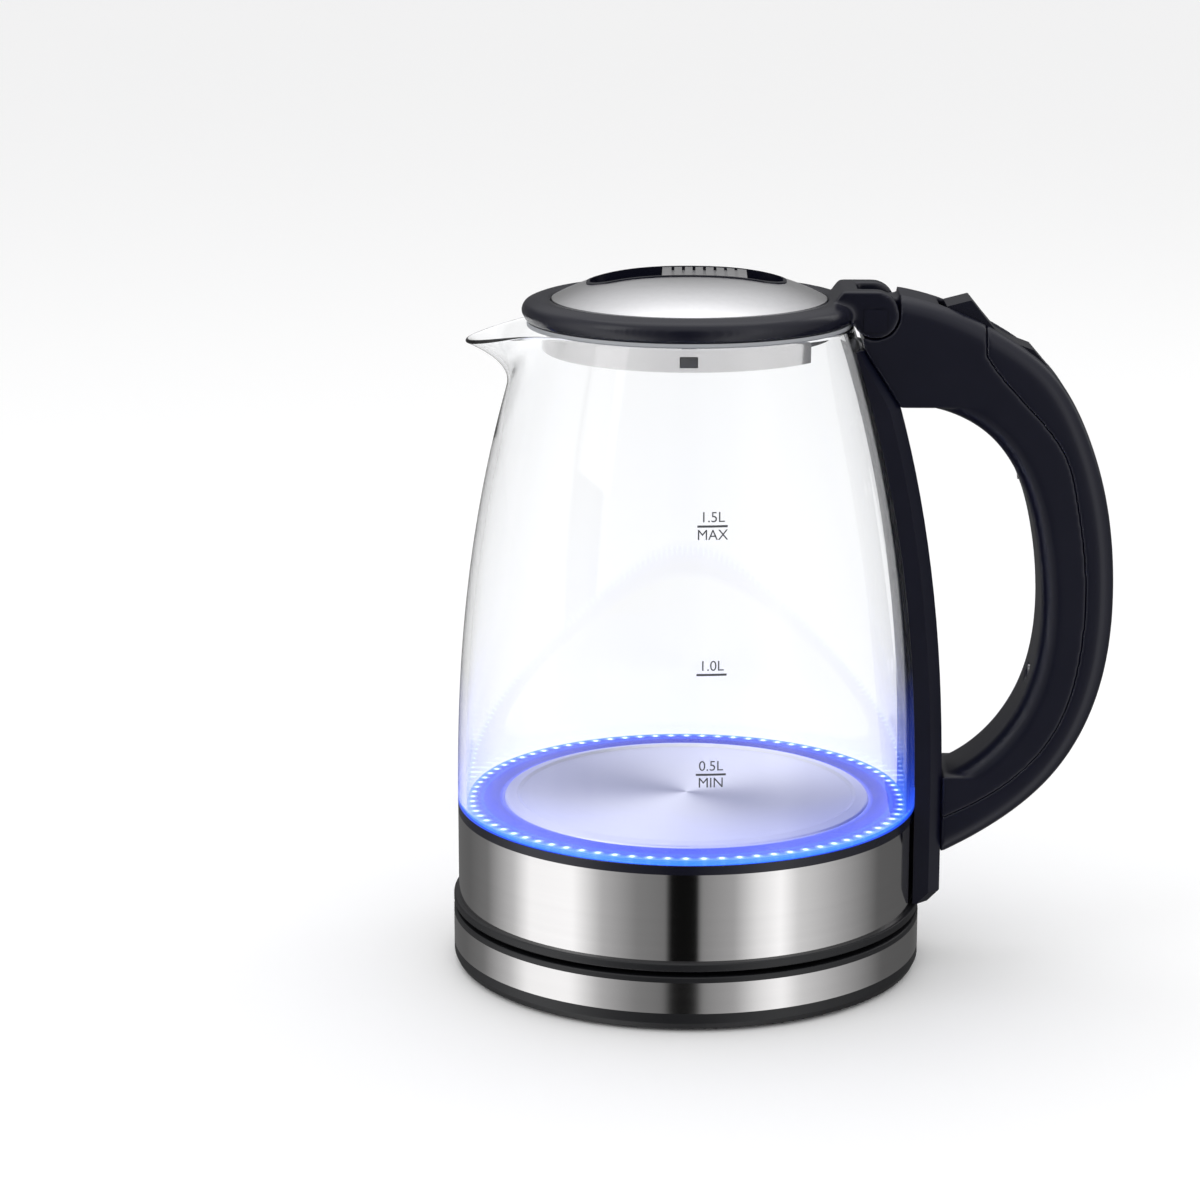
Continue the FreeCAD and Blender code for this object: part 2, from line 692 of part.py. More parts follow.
# Side outlines as (share of grip_reach beyond the glass, share of the handle's height)
back_edge = [(0.227, 0.990), (0.420, 0.973), (0.699, 0.927), (0.863, 0.873), (0.967, 0.769),
             (0.996, 0.652), (0.976, 0.524), (0.913, 0.395), (0.811, 0.296), (0.644, 0.207),
             (0.424, 0.139), (0.139, 0.081)]
gap_edge = [(0.139, 0.211), (0.384, 0.274), (0.513, 0.342), (0.581, 0.408), (0.627, 0.508),
            (0.634, 0.605), (0.597, 0.704), (0.496, 0.769), (0.323, 0.806), (0.213, 0.8145)]
parting_edge = [(0.580, 0.899), (0.610, 0.872), (0.750, 0.797), (0.837, 0.734), (0.850, 0.670),
                (0.841, 0.541), (0.784, 0.410), (0.731, 0.345), (0.636, 0.278), (0.491, 0.220),
                (0.277, 0.169), (0.100, 0.140)]
paddle_top = [(0.43, 0.972, 0.4), (0.545, 0.982, 0.5), (0.615, 0.953), (0.668, 0.930), (0.735, 0.914),
              (0.812, 0.903, 0.8), (0.852, 0.879)]
paddle_under = [(0.800, 0.868), (0.430, 0.948)]
pivot_spot = (0.640, 0.898)
grip_screw_shares = (0.37, 0.70)


def handle_z(share):
    return strap_lo_z + share * (head_top_z - strap_lo_z)


def handle_x(share, z):
    return glass_r(min(z, glass_rim_z)) + share * grip_reach


def handle_point(spot):
    z = handle_z(spot[1])
    return (handle_x(spot[0], z), z) + tuple(spot[2:])


def edge_curve(edge):
    return spline([handle_point(spot) for spot in edge])


def line_xz(a, b):
    return Part.LineSegment(vec(a[0], 0, a[1]), vec(b[0], 0, b[1])).toShape()


def thick_xz(edges, half_w):
    face = Part.Face(Part.Wire(Part.__sortEdges__(edges)))
    face.translate(vec(0, -half_w, 0))
    return face.extrude(vec(0, 2 * half_w, 0))


def glass_clearance(gap):
    """The space that the glass and the skirt take, widened by a gap."""
    hull = glass_hull(-gap)
    return hull.fuse(disc(skirt_r + gap, strap_lo_z - 5, glass_lo_z))


def strap_x(z):
    return glass_r(z) + strap_t


head_join_low = (strap_x(handle_z(0.8145)) - 0.2, handle_z(0.8145))
head_join_high = (glass_r(handle_z(0.905)) + 1.0, handle_z(0.905))
head_front_x = hinge_x - 4.0


def handle_outline_solid():
    """Head and grip as one plain solid, before it is hollowed and split."""
    top = (head_front_x, head_top_z)
    first, last = handle_point(back_edge[0]), handle_point(back_edge[-1])
    gap_low, gap_high = handle_point(gap_edge[0]), handle_point(gap_edge[-1])
    foot_low = (strap_x(last[1]) + seat, last[1])
    foot_high = (strap_x(gap_low[1]) + seat, gap_low[1])
    front_low = (head_front_x, head_join_high[1] + 3.0)
    edges = [line_xz(top, first), edge_curve(back_edge), line_xz(last, foot_low), line_xz(foot_low, foot_high),
             line_xz(foot_high, gap_low), edge_curve(gap_edge), line_xz(gap_high, head_join_low),
             line_xz(head_join_low, head_join_high), line_xz(head_join_high, front_low), line_xz(front_low, top)]
    solid = thick_xz(edges, handle_half_w)
    long_edges = []
    for edge in solid.Edges:
        centre = edge.CenterOfMass
        if abs(abs(centre.y) - handle_half_w) < 1e-3 and edge.Length > 60:
            long_edges.append(edge)
    return solid.makeFillet(handle_round, long_edges)


def inset_edge(edge, shift):
    """The same edge, moved sideways by a shift to its left as it runs."""
    points = [handle_point(spot) for spot in edge]
    moved = []
    for i, (x, z) in enumerate(points):
        before, after = points[max(0, i - 1)], points[min(len(points) - 1, i + 1)]
        dx, dz = after[0] - before[0], after[1] - before[1]
        length = math.hypot(dx, dz)
        moved.append((x - dz / length * shift, z + dx / length * shift))
    return moved


def handle_cavity():
    back = inset_edge(back_edge, -handle_wall)
    gap = inset_edge(gap_edge, -handle_wall)
    front_x = hinge_x + knuckle_r + 0.4 + handle_wall
    back[0] = (front_x, head_top_z - handle_wall - 1.5)
    gap[-1] = (front_x, gap[-2][1] + handle_wall)
    edges = [spline(back), line_xz(back[-1], gap[0]), spline(gap), line_xz(gap[-1], back[0])]
    return thick_xz(edges, handle_half_w - handle_wall)


def grip_cross(share):
    """Finger side, parting line and back of the grip along X at a height."""
    z = handle_z(share)
    marks = []
    for edge in (gap_edge, parting_edge, back_edge):
        level = line_xz((0, z), (400, z))
        marks.append(edge_curve(edge).distToShape(level)[1][0][0].x)
    return z, marks


def along_x(x0, x1, z, r):
    return Part.makeCylinder(r, x1 - x0, vec(x0, 0, z), vec(1, 0, 0))


def hollow_handle():
    solid = handle_outline_solid()
    hollow = solid.cut(handle_cavity())
    for share in grip_screw_shares:
        z, (finger_x, parting_x, back_x) = grip_cross(share)
        hollow = hollow.fuse(along_x(finger_x + 1, back_x - 1, z, 3.6))
    px, pz = handle_point(pivot_spot)
    window = slab_xz([handle_point(spot) for spot in
                      [(0.392, 1.02), (0.9, 0.97), (0.872, 0.862), (0.74, 0.86), (0.392, 0.925)]],
                     paddle_half_w + fit)
    hollow = hollow.cut(window)
    bosses = bar_y(px, pz, paddle_pin_r + 2.2, handle_half_w - 1.5)
    bosses = bosses.cut(bar_y(px, pz, paddle_pin_r + 3, paddle_half_w + fit))
    hollow = hollow.fuse(bosses).cut(bar_y(px, pz, paddle_pin_r, handle_half_w - 1.0))
    pocket = bar_y(hinge_x, hinge_z, knuckle_r + 0.4, handle_half_w + 1)
    above = box(0, hinge_x + knuckle_r + 0.4, -30, 30, hinge_z, head_top_z + 5)
    hollow = hollow.cut(pocket).cut(above)
    low_z = hinge_z - hinge_lug_r
    lug = slab_xz([(hinge_x - hinge_lug_r, low_z, hinge_lug_r - 0.2), (hinge_x + knuckle_r + 2, low_z),
                   (hinge_x + knuckle_r + 2, hinge_z + hinge_lug_r),
                   (hinge_x - hinge_lug_r, hinge_z + hinge_lug_r, hinge_lug_r - 0.2)], hinge_lug_half_w)
    return hollow.fuse(lug).cut(bar_y(hinge_x, hinge_z, hinge_pin_r, 20))


def cover_side():
    """Everything behind the parting line of the grip."""
    points = [handle_point(spot) for spot in parting_edge]
    start, stop = points[0], points[-1]
    up = (start[0] - 1.0, start[1] + 40)
    edges = [spline(points), line_xz(stop, (stop[0] - 2, 0)), line_xz((stop[0] - 2, 0), (250, 0)),
             line_xz((250, 0), (250, up[1])), line_xz((250, up[1]), up), line_xz(up, start)]
    return thick_xz(edges, 40)


def handle_body():
    body = hollow_handle().cut(cover_side())
    for share in grip_screw_shares:
        z, (finger_x, parting_x, back_x) = grip_cross(share)
        body = body.cut(along_x(finger_x - 1, parting_x + 1, z, 1.4))
        body = body.cut(along_x(finger_x - 2, finger_x + 1.8, z, 2.8))
    return body.removeSplitter()


def handle_cover():
    cover = hollow_handle().common(cover_side())
    for share in grip_screw_shares:
        z, (finger_x, parting_x, back_x) = grip_cross(share)
        cover = cover.cut(along_x(parting_x - 1, parting_x + 6, z, 1.25))
    return cover.removeSplitter()


def grip_screws():
    screws = []
    for share in grip_screw_shares:
        z, (finger_x, parting_x, back_x) = grip_cross(share)
        head = along_x(finger_x + 0.4, finger_x + 1.8, z, 2.5)
        screws.append(head.fuse(along_x(finger_x + 1.8, parting_x + 6, z, 1.25)))
    return Part.makeCompound(screws)


def switch_paddle():
    px, pz = handle_point(pivot_spot)
    outline = [handle_point(spot) for spot in paddle_top + paddle_under]
    paddle = slab_xz(outline, paddle_half_w)
    hub = bar_y(px, pz, paddle_pin_r + 2.0, paddle_half_w - 1)
    return paddle.fuse(hub).cut(bar_y(px, pz, paddle_pin_r + pin_fit, 20)).removeSplitter()


def switch_pin():
    px, pz = handle_point(pivot_spot)
    return bar_y(px, pz, paddle_pin_r, handle_half_w - 1.0)


def steam_thermostat():
    x = hinge_x + knuckle_r + handle_wall + 4
    z = handle_z(0.875)
    return fuse(box(x, x + 13, -8, 8, z - 9, z + 9), along_x(x + 13, x + 14.5, z, 6.5))


def strap_profile(inset, y):
    """Side outline of the strap at a distance from its middle plane."""
    low, high = strap_lo_z, head_join_high[1]
    levels = list(reversed(glass_levels(glass_lo_z, head_join_low[1], 6)))
    outer = [(head_join_low[0] - inset, head_join_low[1])] + [(strap_x(z) - inset, z) for z in levels[1:]]
    top = (head_join_high[0] - inset * 0.6, high)
    foot = strap_x(glass_lo_z) - inset
    inner_x = glass_rim_r * 0.75
    corners = [outer[-1], (foot, low + 4), (foot - 4, low), (inner_x, low), (inner_x, high), top, outer[0]]
    edges = [spline(outer)]
    edges += [line_xz(a, b) for a, b in zip(corners, corners[1:])]
    wire = Part.Wire(edges)
    wire.translate(vec(0, y, 0))
    return wire


def handle_strap():
    flat = strap_half_w - strap_bevel
    strap = Part.Face(strap_profile(0, -flat)).extrude(vec(0, 2 * flat, 0))
    for side in (-1, 1):
        wires = [strap_profile(0, side * flat), strap_profile(strap_bevel, side * strap_half_w)]
        strap = strap.fuse(Part.makeLoft(wires, True, True))
    strap = strap.cut(glass_clearance(strap_pad_t + seat))
    screw = along_x(skirt_r - 2, skirt_r + strap_t - 2.5, strap_screw_z, strap_screw_r)
    return strap.cut(screw).removeSplitter()


def strap_pad():
    """Adhesive pad between the glass and the strap."""
    span = box(glass_rim_r * 0.75, skirt_r + 20, -strap_half_w + 4, strap_half_w - 4,
               glass_lo_z + 8, head_join_high[1] - 6)
    return glass_clearance(strap_pad_t - seat).cut(glass_clearance(2 * seat)).common(span)


def strap_screws():
    head_x = skirt_in_r - 2.4 - 2 * seat
    head = along_x(head_x - 1.8, head_x, strap_screw_z, 2.8)
    return head.fuse(along_x(head_x, skirt_r + strap_t - 2.5, strap_screw_z, strap_screw_r))


# ---- lid ----------------------------------------------------------------------------------

crown_top_z = disc_edge_z + lid_crown
post_x = (slider_x0 + slider_x1) / 2
post_y = 8.0
post_r = 1.6
pan_floor_z = crown_top_z - recess_depth
latch_lo_z = collar_z + 1.8
latch_hi_z = lid_base_z - 0.3


def crown_z(r):
    return disc_edge_z + lid_crown * (1 - (r / lid_disc_r) ** lid_crown_power)


def under_crown(rise):
    """Everything below the crowned surface, raised by a distance."""
    out_r = lid_disc_r + 1.5
    low = disc_edge_z - 20
    top = [(out_r * i / 12, crown_z(out_r * i / 12) + rise) for i in range(13)]
    wire = Part.Wire([spline(top), line_xz(top[-1], (out_r, low)), line_xz((out_r, low), (0, low)),
                      line_xz((0, low), top[0])])
    return Part.Face(wire).revolve(vec(0, 0, 0), vec(0, 0, 1), 360)


def slot_shape(x0, x1, half_w, z0, z1):
    corner = half_w * 0.8
    return slab_xy([(x0, -half_w, corner), (x1, -half_w, corner), (x1, half_w, corner), (x0, half_w, corner)],
                   z0, z1)


def lid_ring():
    seat_z = disc_edge_z - 2.0
    seat_r = lid_disc_r + 0.3
    ring_body = turned([(38.0, ring_lo_z), (lid_ring_r - 1.8, ring_lo_z, 0.8),
                        (lid_ring_r, ring_lo_z + 3.4, 2.0), (lid_ring_r - 1.2, ring_hi_z - 1.6, 2.5),
                        (lid_ring_r - 5.5, ring_hi_z, 3.0), (seat_r, ring_hi_z - 0.4, 0.3), (seat_r, seat_z),
                        (seat_r - 2.5, seat_z), (seat_r - 2.5, ring_lo_z + 2), (38.0, ring_lo_z + 2)])
    top = hinge_z + knuckle_r
    hump = slab_xz([(seat_r + 0.8, ring_lo_z + 2), (seat_r + 0.8, ring_hi_z - 0.8), (seat_r + 4, top, 2.5),
                    (hinge_x, top), (hinge_x, ring_lo_z + 2)], handle_half_w)
    knuckle = bar_y(hinge_x, hinge_z, knuckle_r, handle_half_w)
    lid = fuse(ring_body, hump, knuckle)
    room = hinge_lug_half_w + fit
    lid = lid.cut(box(hinge_x - hinge_lug_r - 0.8, hinge_x + 20, -room, room, 0, 400))
    for x, y in lid_screw_spots:
        lid = lid.cut(post(x, y, ring_lo_z, ring_lo_z + 2, 1.3))
    return lid.cut(bar_y(hinge_x, hinge_z, hinge_pin_r + pin_fit, 20))


def hinge_pin():
    return bar_y(hinge_x, hinge_z, hinge_pin_r, handle_half_w - 0.4)


def hinge_caps():
    caps = []
    for side in (-1, 1):
        y0, y1 = sorted((side * handle_half_w, side * (handle_half_w + 0.5)))
        caps.append(box(hinge_x - 3.8, hinge_x + 3.8, y0, y1, hinge_z - 5.4, hinge_z + 2.0))
    return Part.makeCompound(caps)


def lid_top_plate():
    cap = disc(lid_disc_r, disc_edge_z - 3, crown_top_z + 1).common(under_crown(0))
    plate = cap.cut(under_crown(-lid_disc_t))
    hole = slot_shape(recess_x0 - 1.2, recess_x1 + 1.2, recess_half_w + 1.2, disc_edge_z - 5, crown_top_z + 5)
    return plate.cut(hole)


def lid_pan():
    """Black tray that lines the finger slot; its rim stands a little above the disc."""
    tray = slot_shape(recess_x0 - 1.2, recess_x1 + 1.2, recess_half_w + 1.2, pan_floor_z - 1.2, crown_top_z + 5)
    tray = tray.common(under_crown(0.4))
    tray = tray.cut(slot_shape(recess_x0, recess_x1, recess_half_w, pan_floor_z, crown_top_z + 5))
    for side in (-1, 1):
        tray = tray.cut(slider_slot(side, post_r + fit, pan_floor_z - 3, pan_floor_z + 1))
    return tray


def slider_slot(side, r, z0, z1):
    """Straight slot in which a post of the slider travels."""
    y = side * post_y
    slot = box(post_x, post_x + slider_travel, y - r, y + r, z0, z1)
    return fuse(slot, post(post_x, y, z0, z1, r), post(post_x + slider_travel, y, z0, z1, r))


def lid_slider():
    half = recess_half_w - 0.5
    body = box(slider_x0, slider_x1, -half, half, pan_floor_z + fit, crown_top_z + 3)
    body = body.common(under_crown(0.2))
    pitch = (slider_x1 - slider_x0) / (slider_ribs + 1)
    for k in range(slider_ribs):
        x = slider_x0 + pitch * (k + 1)
        body = body.cut(box(x - 0.5, x + 0.5, -half - 1, half + 1, crown_top_z - 1.0, crown_top_z + 3))
    for side in (-1, 1):
        body = body.fuse(post(post_x, side * post_y, latch_lo_z + 0.4, pan_floor_z + 1, post_r))
    return body.removeSplitter()


def lid_base():
    """Plastic floor of the lid, with a wall up to the ring and bosses for its screws."""
    out_r = collar_r - collar_t - seat
    floor_hi = lid_base_z + 2
    base = turned([(0, lid_base_z), (out_r, lid_base_z), (out_r, ring_lo_z), (out_r - 2, ring_lo_z),
                   (out_r - 2, floor_hi), (0, floor_hi)])
    for x, y in lid_screw_spots:
        base = base.fuse(post(x, y, floor_hi - 0.1, ring_lo_z, 3.0))
        base = base.cut(post(x, y, lid_base_z, ring_lo_z, 1.3))
    for side in (-1, 1):
        base = base.cut(slider_slot(side, post_r + fit, lid_base_z - 1, floor_hi + 1))
    return base.removeSplitter()


lid_screw_spots = [polar(41.0, 50 + 80 * k) for k in (0, 1, 2)] + [polar(41.0, -50)]


def lid_screws():
    screws = []
    for x, y in lid_screw_spots:
        head = post(x, y, lid_base_z - 1.6, lid_base_z, 2.5)
        screws.append(head.fuse(post(x, y, lid_base_z, ring_lo_z + 2, 1.3)))
    return Part.makeCompound(screws)


def lid_collar():
    collar = ring(collar_r - collar_t, collar_r, collar_z, ring_lo_z)
    collar = collar.cut(box(collar_cut_x, 100, -100, 100, 0, 400))
    half = latch_nose_half_w + 0.4
    return collar.cut(box(-half, half, -100, 100, latch_lo_z - fit, latch_hi_z + fit))


def lid_inner_plate():
    plate = disc(collar_r - collar_t - seat, collar_z + 0.6, collar_z + 1.4)
    plate = plate.cut(box(collar_cut_x, 100, -100, 100, 0, 400))
    for k in range(5):
        plate = plate.cut(slot_shape(22, 34, 1.1, 0, 400).translate(vec(0, -12 + 6 * k, 0)))
    return plate


latch_nose_half_w = 2.5
latch_wide_x = (post_x - 5, post_x + slider_travel + 5)


def latch(side):
    """Plate with a slanted cam slot for the slider's post and a nose through the collar."""
    inner_y = post_y - 4
    cam_y = post_y + latch_travel + 4
    nose_y = collar_r + latch_reach
    x0, x1 = latch_wide_x
    plate = slab_xy([(x0, side * inner_y), (x1, side * inner_y), (x1, side * cam_y),
                     (latch_nose_half_w, side * (cam_y + 6)), (latch_nose_half_w, side * nose_y),
                     (-latch_nose_half_w, side * nose_y), (-latch_nose_half_w, side * (cam_y + 4)),
                     (x0, side * (cam_y + 2))], latch_lo_z, latch_hi_z)
    r = post_r + fit
    ends = [(post_x, side * post_y), (post_x + slider_travel, side * (post_y + latch_travel))]
    tilt = math.degrees(math.atan2(side * latch_travel, slider_travel))
    length = math.hypot(slider_travel, latch_travel)
    slot = box(0, length, -r, r, latch_lo_z - 1, latch_hi_z + 1)
    slot.rotate(vec(0, 0, 0), vec(0, 0, 1), tilt)
    slot.translate(vec(post_x, side * post_y, 0))
    plate = plate.cut(slot)
    for x, y in ends:
        plate = plate.cut(post(x, y, latch_lo_z - 1, latch_hi_z + 1, r))
    return plate


def latch_front():
    return latch(-1)


def latch_rear():
    return latch(1)


def lid_seal():
    return ring(glass_rim_r - 4.4, glass_rim_r - 0.6, glass_rim_z + fit, ring_lo_z)


# ---- parts --------------------------------------------------------------------------------

parts = [base_bottom_cover, base_foot_ring, base_steel_band, base_top_cover, base_screws, connector_tower,
         base_contacts, terminal_block, cord_strain_relief, power_cord, power_cord_end, power_cord_coil,
         plug_body, plug_pins, jug_bottom_cover, cover_screws, control_screws, steel_skirt, support_ring,
         glass_seal, skirt_trim_ring, heating_plate, heat_diffuser, heating_element, inlet_housing,
         contact_rings, thermostat_control, led_board, leds, light_guide_ring, glass_body, handle_body,
         handle_cover, grip_screws, switch_paddle, switch_pin, steam_thermostat, handle_strap, strap_pad,
         strap_screws, hinge_pin, lid_ring, hinge_caps, lid_top_plate, lid_pan, lid_slider, lid_base,
         lid_screws, lid_collar, lid_inner_plate, latch_front, latch_rear, lid_seal]

os.makedirs("parts", exist_ok=True)
for make in parts:
    shape = make()
    print("%-20s solids %3d  volume %9.1f  valid %s" % (make.__name__, len(shape.Solids), shape.Volume,
                                                        shape.isValid()))
    shape.exportStep("parts/" + make.__name__ + ".step")

pivot_x, pivot_z = handle_point(pivot_spot)
print("lid hinge at x %.2f z %.2f, opens %.0f degrees" % (hinge_x, hinge_z, lid_open_deg))
print("paddle pivot at x %.2f z %.2f, rocks %.0f degrees" % (pivot_x, pivot_z, paddle_swing_deg))
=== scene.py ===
import json
import math

import bmesh
import bpy
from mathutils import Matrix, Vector


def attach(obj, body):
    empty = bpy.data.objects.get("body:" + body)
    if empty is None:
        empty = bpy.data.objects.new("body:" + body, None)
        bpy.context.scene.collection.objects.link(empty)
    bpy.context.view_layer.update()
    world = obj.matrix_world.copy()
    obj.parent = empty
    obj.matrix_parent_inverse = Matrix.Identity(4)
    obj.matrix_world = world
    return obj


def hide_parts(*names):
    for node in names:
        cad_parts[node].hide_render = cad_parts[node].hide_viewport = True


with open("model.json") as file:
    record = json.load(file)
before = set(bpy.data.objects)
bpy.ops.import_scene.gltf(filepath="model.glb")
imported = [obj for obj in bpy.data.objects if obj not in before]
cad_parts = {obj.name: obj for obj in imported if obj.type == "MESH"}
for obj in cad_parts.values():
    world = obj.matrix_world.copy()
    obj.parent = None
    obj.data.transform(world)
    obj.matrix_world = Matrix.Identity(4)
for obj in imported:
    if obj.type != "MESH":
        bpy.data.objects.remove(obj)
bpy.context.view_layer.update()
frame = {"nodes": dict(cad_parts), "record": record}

nodes = frame["nodes"]

# ---- measures shared with the CAD source, in metres ----------------------------------------

glass_lo_z, glass_rim_z = 0.056, 0.2195
skirt_r, glass_rim_r, glass_wall, glass_taper = 0.0783, 0.0546, 0.0028, 2.28
spout_root_z, spout_tip_z, spout_tip_r = 0.1985, 0.2135, 0.0741
led_count, led_circle_r = 80, 0.0734
exit_run = [(0, 0.103, 0.009), (0.0004, 0.114, 0.0086), (-0.0021, 0.1257, 0.0066), (-0.0081, 0.1361, 0.0046),
            (-0.017, 0.1441, 0.0033), (-0.028, 0.149, 0.003)]
plug_run = [(-0.0121, 0.208, 0.009), (-0.005, 0.1996, 0.0106), (0.0026, 0.1916, 0.0126), (0.0106, 0.1842, 0.013)]
coil_centre = (-0.0389, 0.1855)


def glass_r(z):
    part = max(0.0, (z - glass_lo_z) / (glass_rim_z - glass_lo_z))
    return skirt_r - (skirt_r - glass_rim_r) * part ** glass_taper


# ---- camera --------------------------------------------------------------------------------

cam = bpy.data.objects.new("camera", bpy.data.cameras.new("camera"))
bpy.context.scene.collection.objects.link(cam)
cam.location = (0.0, -1.105, 0.3865)
pitch, yaw = math.radians(13.3), math.radians(-1.536)
look = Vector((math.sin(yaw) * math.cos(pitch), math.cos(yaw) * math.cos(pitch), -math.sin(pitch)))
cam.rotation_euler = look.to_track_quat("-Z", "Y").to_euler()
cam.data.sensor_width = 36.0
cam.data.lens = 100.5
cam.data.clip_start = 0.05
bpy.context.scene.camera = cam
bpy.context.scene.view_settings.view_transform = "Standard"


# ---- node helpers --------------------------------------------------------------------------

class Nodes:
    """A small builder for one material's nodes."""

    def __init__(self, name):
        self.material = bpy.data.materials.new(name)
        self.material.use_nodes = True
        self.tree = self.material.node_tree
        self.tree.nodes.clear()
        self.out = self.tree.nodes.new("ShaderNodeOutputMaterial")

    def link(self, a, b):
        self.tree.links.new(a, b)

    def set(self, socket, value):
        if isinstance(value, bpy.types.NodeSocket):
            self.link(value, socket)
        else:
            socket.default_value = value

    def place(self):
        return self.tree.nodes.new("ShaderNodeTexCoord").outputs["Object"]

    def axes(self):
        node = self.tree.nodes.new("ShaderNodeSeparateXYZ")
        self.link(self.place(), node.inputs[0])
        return node.outputs[0], node.outputs[1], node.outputs[2]

    def math(self, kind, a, b=0.0, c=0.0):
        node = self.tree.nodes.new("ShaderNodeMath")
        node.operation = kind
        for socket, value in zip(node.inputs, (a, b, c)):
            self.set(socket, value)
        return node.outputs[0]

    def radius(self):
        x, y, z = self.axes()
        return self.math("SQRT", self.math("ADD", self.math("MULTIPLY", x, x), self.math("MULTIPLY", y, y)))

    def ramp(self, value, stops, low=0.0, high=1.0):
        """Colours by a value, with stops given in the value's own units."""
        span = self.tree.nodes.new("ShaderNodeMapRange")
        self.set(span.inputs["Value"], value)
        span.inputs["From Min"].default_value = low
        span.inputs["From Max"].default_value = high
        node = self.tree.nodes.new("ShaderNodeValToRGB")
        self.link(span.outputs[0], node.inputs[0])
        stops = [((at - low) / (high - low), colour) for at, colour in stops]
        points = node.color_ramp.elements
        while len(points) < len(stops):
            points.new(0.5)
        for point, (at, colour) in zip(points, stops):
            point.position = at
            point.color = tuple(colour) + (1.0,) if hasattr(colour, "__len__") else (colour, colour, colour, 1.0)
        return node.outputs[0]

    def noise(self, scale, detail=2.0, stretch=(1, 1, 1), where=None):
        mapping = self.tree.nodes.new("ShaderNodeMapping")
        mapping.inputs["Scale"].default_value = stretch
        self.link(where or self.place(), mapping.inputs["Vector"])
        node = self.tree.nodes.new("ShaderNodeTexNoise")
        node.inputs["Scale"].default_value = scale
        node.inputs["Detail"].default_value = detail
        self.link(mapping.outputs[0], node.inputs["Vector"])
        return node.outputs[0]

    def bump(self, height, strength, distance=0.001):
        node = self.tree.nodes.new("ShaderNodeBump")
        node.inputs["Strength"].default_value = strength
        node.inputs["Distance"].default_value = distance
        self.link(height, node.inputs["Height"])
        return node.outputs[0]

    def mix(self, share, a, b):
        node = self.tree.nodes.new("ShaderNodeMix")
        node.data_type = "RGBA"
        self.set(node.inputs[0], share)
        self.set(node.inputs[6], a)
        self.set(node.inputs[7], b)
        return node.outputs[2]

    def surface(self, **values):
        node = self.tree.nodes.new("ShaderNodeBsdfPrincipled")
        for key, value in values.items():
            self.set(node.inputs[key.replace("_", " ")], value)
        self.link(node.outputs[0], self.out.inputs[0])
        return node


def rgb(r, g, b):
    return (r, g, b, 1.0)


def plastic(name, colour, roughness, grain=0.0, grain_scale=2500.0, shine=0.5):
    n = Nodes(name)
    shade = n.noise(55.0)
    colour2 = tuple(min(1.0, c * 1.12 + 0.001) for c in colour[:3]) + (1.0,)
    rough = n.math("MULTIPLY_ADD", shade, 0.06, roughness - 0.03)
    values = dict(Base_Color=n.mix(shade, colour, colour2), Roughness=rough, Specular_IOR_Level=shine)
    if grain:
        values["Normal"] = n.bump(n.noise(grain_scale, 1.0), grain, 0.0002)
    n.surface(**values)
    return n.material


def metal(name, colour, roughness, kind="round", amount=0.05):
    """Metal with fine brush lines: round the axis, across, or none."""
    n = Nodes(name)
    if kind == "round":
        x, y, z = n.axes()
        together = n.tree.nodes.new("ShaderNodeCombineXYZ")
        n.link(n.radius(), together.inputs[0])
        n.link(z, together.inputs[2])
        lines = n.noise(420.0, 2.0, (1, 1, 1), together.outputs[0])
    else:
        lines = n.noise(500.0, 2.0, {"across": (1, 0.02, 1), "none": (1, 1, 1)}[kind])
    dark = tuple(c * 0.93 for c in colour[:3]) + (1.0,)
    rough = n.math("MULTIPLY_ADD", lines, amount, roughness - amount / 2)
    n.surface(Base_Color=n.mix(lines, dark, colour), Metallic=1.0, Roughness=rough,
              Normal=n.bump(lines, 0.03, 0.0002))
    return n.material


# ---- materials -----------------------------------------------------------------------------

navy = rgb(0.0034, 0.0038, 0.0120)
looks = {
    "base_plastic": plastic("base_plastic", rgb(0.0065, 0.0068, 0.0085), 0.38, 0.2, shine=0.4),
    "black_plastic": plastic("black_plastic", rgb(0.0040, 0.0043, 0.0115), 0.25, shine=0.4),
    "grip_plastic": plastic("grip_plastic", navy, 0.32, 0.03, shine=0.36),
    "rubber": plastic("rubber", rgb(0.016, 0.016, 0.016), 0.7, 0.3),
    "cable": plastic("cable", rgb(0.012, 0.012, 0.013), 0.45, 0.1),
    "white_plastic": plastic("white_plastic", rgb(0.62, 0.61, 0.58), 0.4, 0.1),
    "silicone": plastic("silicone", rgb(0.32, 0.33, 0.35), 0.5, 0.05),
    "board": plastic("board", rgb(0.55, 0.6, 0.66), 0.5, 0.1),
    "screw_steel": metal("screw_steel", rgb(0.62, 0.62, 0.63), 0.28, "none"),
    "screw_copper": metal("screw_copper", rgb(0.66, 0.38, 0.2), 0.32, "none"),
    "brass": metal("brass", rgb(0.83, 0.6, 0.24), 0.24, "none"),
    "aluminium": metal("aluminium", rgb(0.7, 0.7, 0.7), 0.42, "none"),
    "brushed_steel": metal("brushed_steel", rgb(0.66, 0.65, 0.65), 0.14, "round", 0.03),
    "polished_steel": metal("polished_steel", rgb(0.68, 0.67, 0.67), 0.08, "round", 0.02),
    "lid_steel": metal("lid_steel", rgb(0.80, 0.80, 0.81), 0.30, "none", 0.04),
}


